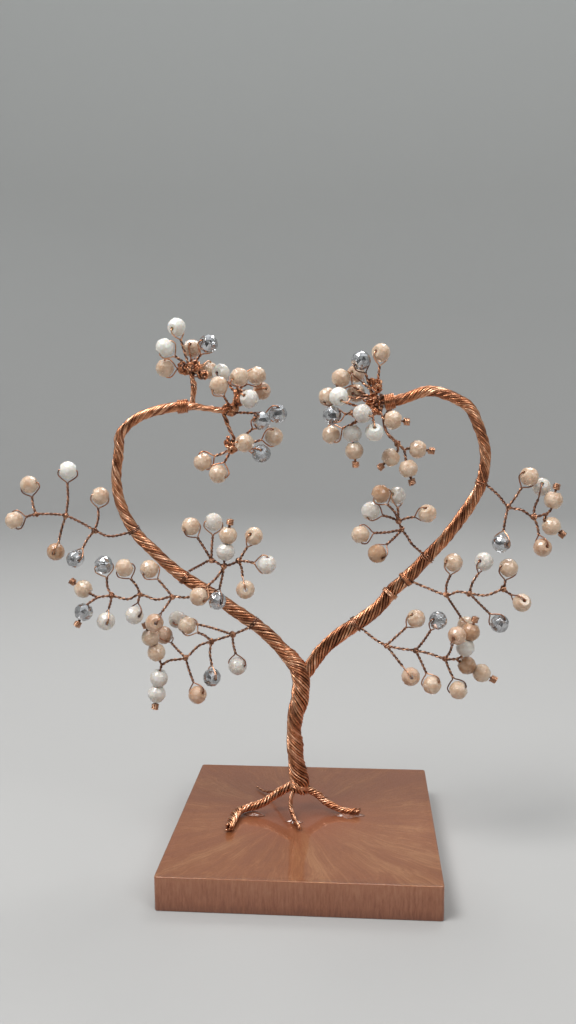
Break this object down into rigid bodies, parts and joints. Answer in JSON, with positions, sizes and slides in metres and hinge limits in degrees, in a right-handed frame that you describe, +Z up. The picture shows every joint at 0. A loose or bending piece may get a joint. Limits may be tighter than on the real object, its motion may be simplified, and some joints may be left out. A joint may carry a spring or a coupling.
{
  "type": "wire tree ornament",
  "caption": "Twisted copper wire tree with two limbs curving into a heart, sprigs of faceted glass beads, and roots glued on a square resin slab.",
  "frame": {"origin": "centre of the slab's underside", "axes": "+Z up, +X to the right seen from the front, +Y away from the front"},
  "size_m": [0.172, 0.08, 0.166],
  "materials": {
    "resin_slab": "cast resin with copper mica swirled through it and a clear glossy top",
    "clear_glue": "clear, glossy, set in a thin puddle",
    "copper_wire": "bare drawn copper wire, bright with slightly tarnished creases",
    "cream_beads": "faceted opal glass with a pearly peach lustre",
    "pale_beads": "faceted white and clear opal glass",
    "silver_beads": "faceted crystal with a half silvered coating"
  },
  "bodies": {
    "root": {"base_slab": "resin_slab", "left_inner_beads_cream": "cream_beads", "left_inner_beads_pale": "pale_beads", "left_inner_beads_silver": "silver_beads", "left_inner_wires": "copper_wire", "left_limb": "copper_wire", "left_lower_beads_cream": "cream_beads", "left_lower_beads_pale": "pale_beads", "left_lower_beads_silver": "silver_beads", "left_lower_wires": "copper_wire", "left_middle_beads_cream": "cream_beads", "left_middle_beads_pale": "pale_beads", "left_middle_beads_silver": "silver_beads", "left_middle_wires": "copper_wire", "left_upper_beads_cream": "cream_beads", "left_upper_beads_pale": "pale_beads", "left_upper_beads_silver": "silver_beads", "left_upper_wires": "copper_wire", "limb_wraps": "copper_wire", "right_inner_beads_cream": "cream_beads", "right_inner_beads_pale": "pale_beads", "right_inner_wires": "copper_wire", "right_limb": "copper_wire", "right_lower_beads_cream": "cream_beads", "right_lower_beads_pale": "pale_beads", "right_lower_beads_silver": "silver_beads", "right_lower_wires": "copper_wire", "right_middle_beads_cream": "cream_beads", "right_middle_beads_pale": "pale_beads", "right_middle_beads_silver": "silver_beads", "right_middle_wires": "copper_wire", "right_upper_beads_cream": "cream_beads", "right_upper_beads_pale": "pale_beads", "right_upper_beads_silver": "silver_beads", "right_upper_wires": "copper_wire", "root_back": "copper_wire", "root_front": "copper_wire", "root_glue": "clear_glue", "root_left": "copper_wire", "root_right": "copper_wire", "stub_branch": "copper_wire", "top_left_hanging_beads_cream": "cream_beads", "top_left_hanging_beads_silver": "silver_beads", "top_left_hanging_wires": "copper_wire", "top_left_inner_beads_cream": "cream_beads", "top_left_inner_beads_pale": "pale_beads", "top_left_inner_beads_silver": "silver_beads", "top_left_inner_wires": "copper_wire", "top_left_upper_beads_cream": "cream_beads", "top_left_upper_beads_pale": "pale_beads", "top_left_upper_beads_silver": "silver_beads", "top_left_upper_wires": "copper_wire", "top_right_beads_cream": "cream_beads", "top_right_beads_pale": "pale_beads", "top_right_beads_silver": "silver_beads", "top_right_hanging_beads_cream": "cream_beads", "top_right_hanging_wires": "copper_wire", "top_right_wires": "copper_wire", "trunk": "copper_wire"}
  },
  "joints": []
}
